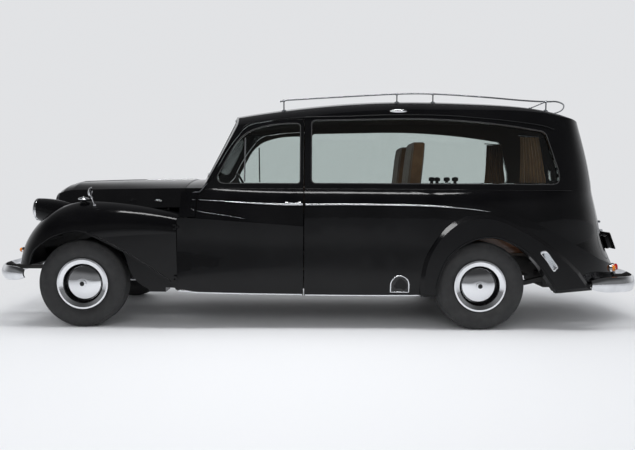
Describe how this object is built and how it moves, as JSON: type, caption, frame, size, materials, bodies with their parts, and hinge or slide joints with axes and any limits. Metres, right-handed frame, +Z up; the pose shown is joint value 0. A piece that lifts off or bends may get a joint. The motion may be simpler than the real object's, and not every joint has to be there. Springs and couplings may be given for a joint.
{
  "type": "hearse",
  "caption": "Long black hearse on a separate chassis, with swept wings, a glazed load body over a raised deck, and a roof rail.",
  "frame": {"origin": "on the ground, under the middle of the overall length and width", "axes": "+X from the front bumper to the tail, +Y to the driver's side (the car's right), +Z up"},
  "size_m": [5.631, 1.8678, 2.027],
  "materials": {
    "black_paint": "gloss",
    "frame_black": "satin",
    "steel": "satin",
    "chrome": "gloss",
    "tyre": "matt",
    "glass": "gloss",
    "wheel_paint": "gloss",
    "leather": "satin",
    "seat_cloth": "matt",
    "drape": "matt",
    "carpet": "matt",
    "deck_wood": "satin",
    "dash_wood": "gloss"
  },
  "bodies": {
    "body": {"chassis_frame": "frame_black", "engine": "frame_black", "rear_axle": "frame_black", "exhaust": "steel", "fuel_tank": "frame_black", "front_suspension": "frame_black", "floor": "carpet", "body_side_left": "black_paint", "body_side_right": "black_paint", "scuttle": "black_paint", "roof": "black_paint", "windscreen": "glass", "side_glass": "glass", "front_wing_left": "black_paint", "front_wing_right": "black_paint", "rear_wing_left": "black_paint", "rear_wing_right": "black_paint", "radiator_grille": "chrome", "front_bumper": "chrome", "rear_bumper": "chrome", "lamps": "chrome", "roof_rail": "chrome", "load_deck": "deck_wood", "front_seat": "leather", "bearer_seats": "seat_cloth", "curtains": "drape", "dashboard": "dash_wood"},
    "wheel_front_left": {"wheel_front_left": "wheel_paint", "tyre_front_left": "tyre"},
    "wheel_front_right": {"wheel_front_right": "wheel_paint", "tyre_front_right": "tyre"},
    "wheel_rear_left": {"wheel_rear_left": "wheel_paint", "tyre_rear_left": "tyre"},
    "wheel_rear_right": {"wheel_rear_right": "wheel_paint", "tyre_rear_right": "tyre"},
    "knuckle_left": {"knuckle_left": "frame_black"},
    "knuckle_right": {"knuckle_right": "frame_black"},
    "front_door_left": {"front_door_left": "black_paint", "door_glass_left": "glass"},
    "front_door_right": {"front_door_right": "black_paint", "door_glass_right": "glass"},
    "bonnet_left": {"bonnet_left": "black_paint"},
    "bonnet_right": {"bonnet_right": "black_paint"},
    "tailgate": {"tailgate": "black_paint", "tailgate_glass": "glass"}
  },
  "joints": [
    {"name": "steering_left", "type": "hinge", "parent": "body", "child": "knuckle_left", "pos_m": [-2.0155, -0.655, 0.37], "axis": [0, 0, 1], "range_deg": [-28, 28]},
    {"name": "steering_right", "type": "hinge", "parent": "body", "child": "knuckle_right", "pos_m": [-2.0155, 0.655, 0.37], "axis": [0, 0, 1], "range_deg": [-28, 28]},
    {"name": "wheel_front_left_spin", "type": "hinge", "parent": "knuckle_left", "child": "wheel_front_left", "pos_m": [-2.0155, -0.743, 0.37], "axis": [0, 1, 0], "continuous": true},
    {"name": "wheel_front_right_spin", "type": "hinge", "parent": "knuckle_right", "child": "wheel_front_right", "pos_m": [-2.0155, 0.743, 0.37], "axis": [0, 1, 0], "continuous": true},
    {"name": "wheel_rear_left_spin", "type": "hinge", "parent": "body", "child": "wheel_rear_left", "pos_m": [1.3375, -0.794, 0.37], "axis": [0, 1, 0], "continuous": true},
    {"name": "wheel_rear_right_spin", "type": "hinge", "parent": "body", "child": "wheel_rear_right", "pos_m": [1.3375, 0.794, 0.37], "axis": [0, 1, 0], "continuous": true},
    {"name": "door_left_hinge", "type": "hinge", "parent": "body", "child": "front_door_left", "pos_m": [-1.1985, -0.918, 0.66], "axis": [0, 0, -1], "range_deg": [0, 62]},
    {"name": "door_right_hinge", "type": "hinge", "parent": "body", "child": "front_door_right", "pos_m": [-1.1985, 0.918, 0.66], "axis": [0, 0, 1], "range_deg": [0, 62]},
    {"name": "bonnet_left_hinge", "type": "hinge", "parent": "body", "child": "bonnet_left", "pos_m": [-1.7855, 0, 1.262], "axis": [-1, 0, 0], "range_deg": [0, 55]},
    {"name": "bonnet_right_hinge", "type": "hinge", "parent": "body", "child": "bonnet_right", "pos_m": [-1.7855, 0, 1.262], "axis": [1, 0, 0], "range_deg": [0, 55]},
    {"name": "tailgate_hinge", "type": "hinge", "parent": "body", "child": "tailgate", "pos_m": [2.3765, 0, 1.722], "axis": [0, -1, 0], "range_deg": [0, 80]}
  ],
  "couplings": [
    {"joint": "steering_right", "follows": "steering_left", "ratio": 1}
  ]
}
